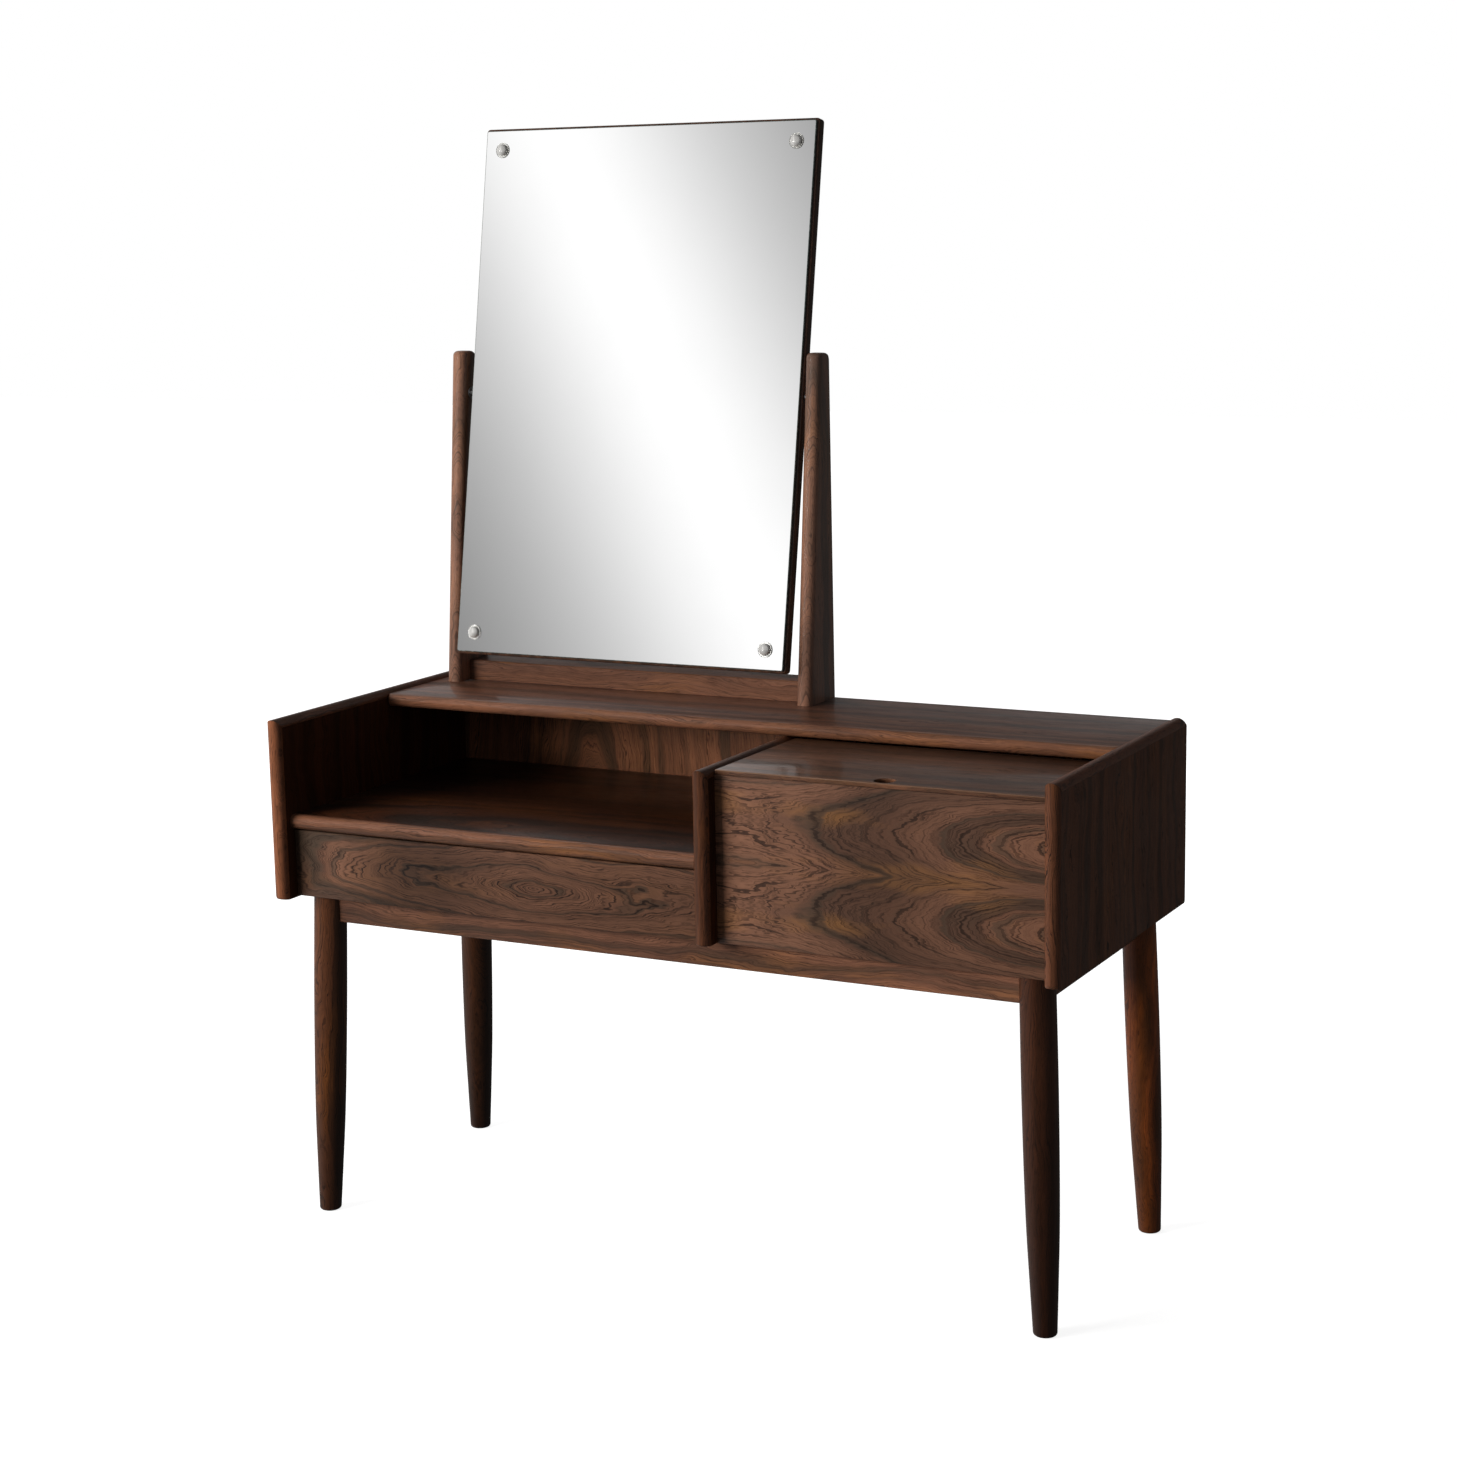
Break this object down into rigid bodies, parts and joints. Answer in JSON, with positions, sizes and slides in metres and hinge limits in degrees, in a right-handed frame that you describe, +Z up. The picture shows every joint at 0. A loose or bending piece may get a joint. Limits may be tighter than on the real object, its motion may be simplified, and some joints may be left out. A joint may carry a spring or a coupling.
{
  "type": "vanity table with mirror",
  "caption": "Low rosewood dressing table on turned legs, with an open display shelf, a shallow drawer, a deep box under a sliding lid and a tilting mirror between two posts.",
  "frame": {"origin": "on the floor, under the middle of the whole piece with the mirror leaning back", "axes": "+Z up, +X to the right as seen by a person sitting at it, -Y towards that person"},
  "size_m": [1.1, 0.4985, 1.4378],
  "materials": {
    "rosewood_veneer": "satin lacquer over figured rosewood veneer",
    "rosewood_solid": "satin lacquer over solid rosewood",
    "inside_wood": "plain lacquered hardwood",
    "plywood": "plain plywood",
    "steel": "satin",
    "chrome": "polished",
    "clear_plastic": "clear",
    "mirror_glass": "silvered"
  },
  "bodies": {
    "case": {"left_side_panel": "rosewood_veneer", "right_side_panel": "rosewood_veneer", "centre_divider": "rosewood_veneer", "top_shelf": "rosewood_veneer", "display_shelf": "rosewood_veneer", "back_panel": "rosewood_veneer", "compartment_front": "rosewood_veneer", "left_side_panel_front_edging": "rosewood_solid", "left_side_panel_top_edging": "rosewood_solid", "right_side_panel_front_edging": "rosewood_solid", "right_side_panel_top_edging": "rosewood_solid", "centre_divider_front_edging": "rosewood_solid", "centre_divider_top_edging": "rosewood_solid", "top_shelf_nosing": "rosewood_solid", "display_shelf_nosing": "rosewood_solid", "front_apron": "rosewood_solid", "back_apron": "rosewood_solid", "left_apron": "rosewood_solid", "right_apron": "rosewood_solid", "left_post": "rosewood_solid", "right_post": "rosewood_solid", "post_rail": "rosewood_solid", "pivot_plug_left": "rosewood_solid", "pivot_plug_right": "rosewood_solid", "leg_front_left": "rosewood_solid", "leg_front_right": "rosewood_solid", "leg_back_left": "rosewood_solid", "leg_back_right": "rosewood_solid", "left_bottom_panel": "inside_wood", "right_bottom_panel": "inside_wood", "lid_cleat_left": "inside_wood", "lid_cleat_right": "inside_wood", "drawer_runner_left": "inside_wood", "drawer_runner_right": "inside_wood", "drawer_stop": "inside_wood", "corner_block_front_left": "inside_wood", "corner_block_front_right": "inside_wood", "corner_block_back_left": "inside_wood", "corner_block_back_right": "inside_wood", "pivot_washer_left": "steel", "pivot_washer_right": "steel"},
    "drawer": {"drawer_front": "rosewood_veneer", "drawer_side_left": "inside_wood", "drawer_side_right": "inside_wood", "drawer_back": "inside_wood", "drawer_bottom": "plywood"},
    "lid": {"sliding_lid": "rosewood_veneer"},
    "mirror": {"mirror_board": "rosewood_solid", "mirror_glass": "mirror_glass", "mirror_screw_top_left": "chrome", "mirror_screw_top_right": "chrome", "mirror_screw_bottom_left": "chrome", "mirror_screw_bottom_right": "chrome", "screw_washer_top_left": "clear_plastic", "screw_washer_top_right": "clear_plastic", "screw_washer_bottom_left": "clear_plastic", "screw_washer_bottom_right": "clear_plastic", "pivot_pin_left": "steel", "pivot_pin_right": "steel"}
  },
  "joints": [
    {"name": "mirror_tilt", "type": "hinge", "parent": "case", "child": "mirror", "pos_m": [-0.2255, 0.179, 1.077], "axis": [1, 0, 0], "range_deg": [-15, 25]},
    {"name": "drawer_slide", "type": "slide", "parent": "case", "child": "drawer", "axis": [0, -1, 0], "range_m": [0, 0.3]},
    {"name": "lid_slide", "type": "slide", "parent": "case", "child": "lid", "axis": [0, 1, 0], "range_m": [0, 0.17]}
  ]
}
